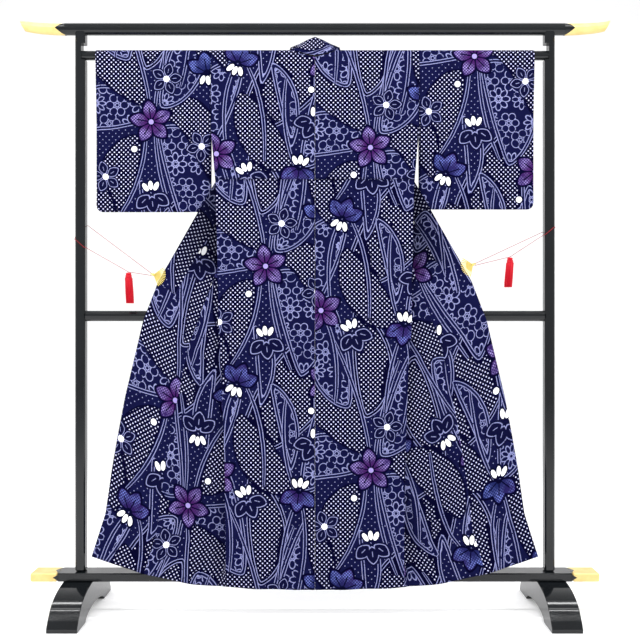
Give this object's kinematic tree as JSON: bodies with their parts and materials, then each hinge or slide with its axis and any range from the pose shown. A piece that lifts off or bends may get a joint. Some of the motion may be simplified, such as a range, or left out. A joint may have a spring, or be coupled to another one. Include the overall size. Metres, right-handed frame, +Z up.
{
  "type": "cotton yukata robe on kimono stand",
  "caption": "Cotton yukata robe with an indigo tie-dye style print, hung by its sleeves on a black lacquered kimono stand, its fronts drawn open by gold fan clips",
  "frame": {"origin": "on the floor, below the middle of the stand", "axes": "+Z up; the robe's back faces -Y and its open front faces +Y; the wearer's left is at -X"},
  "size_m": [1.772, 0.394, 1.7708],
  "materials": {
    "yukata_cotton": "matte plain-weave cotton, navy with periwinkle and white print",
    "black_lacquer": "glossy black lacquer on wood",
    "gold_lacquer": "satin gold end caps",
    "gilt_metal": "bright gilt",
    "red_cord": "thin twisted cord",
    "red_silk": "crimson tassel thread"
  },
  "bodies": {
    "root": {"back_left": "yukata_cotton", "back_right": "yukata_cotton", "front_left": "yukata_cotton", "front_right": "yukata_cotton", "okumi_left": "yukata_cotton", "okumi_right": "yukata_cotton", "sleeve_left": "yukata_cotton", "sleeve_right": "yukata_cotton", "collar": "yukata_cotton", "top_bar": "black_lacquer", "rod": "black_lacquer", "middle_bar": "black_lacquer", "bottom_bar": "black_lacquer", "post_left": "black_lacquer", "post_right": "black_lacquer", "foot_left": "black_lacquer", "foot_right": "black_lacquer", "top_cap_left": "gold_lacquer", "top_cap_right": "gold_lacquer", "bottom_cap_left": "gold_lacquer", "bottom_cap_right": "gold_lacquer", "clip_left": "gilt_metal", "clip_right": "gilt_metal", "cord_left": "red_cord", "cord_right": "red_cord", "tassel_left": "red_silk", "tassel_right": "red_silk"}
  },
  "joints": []
}
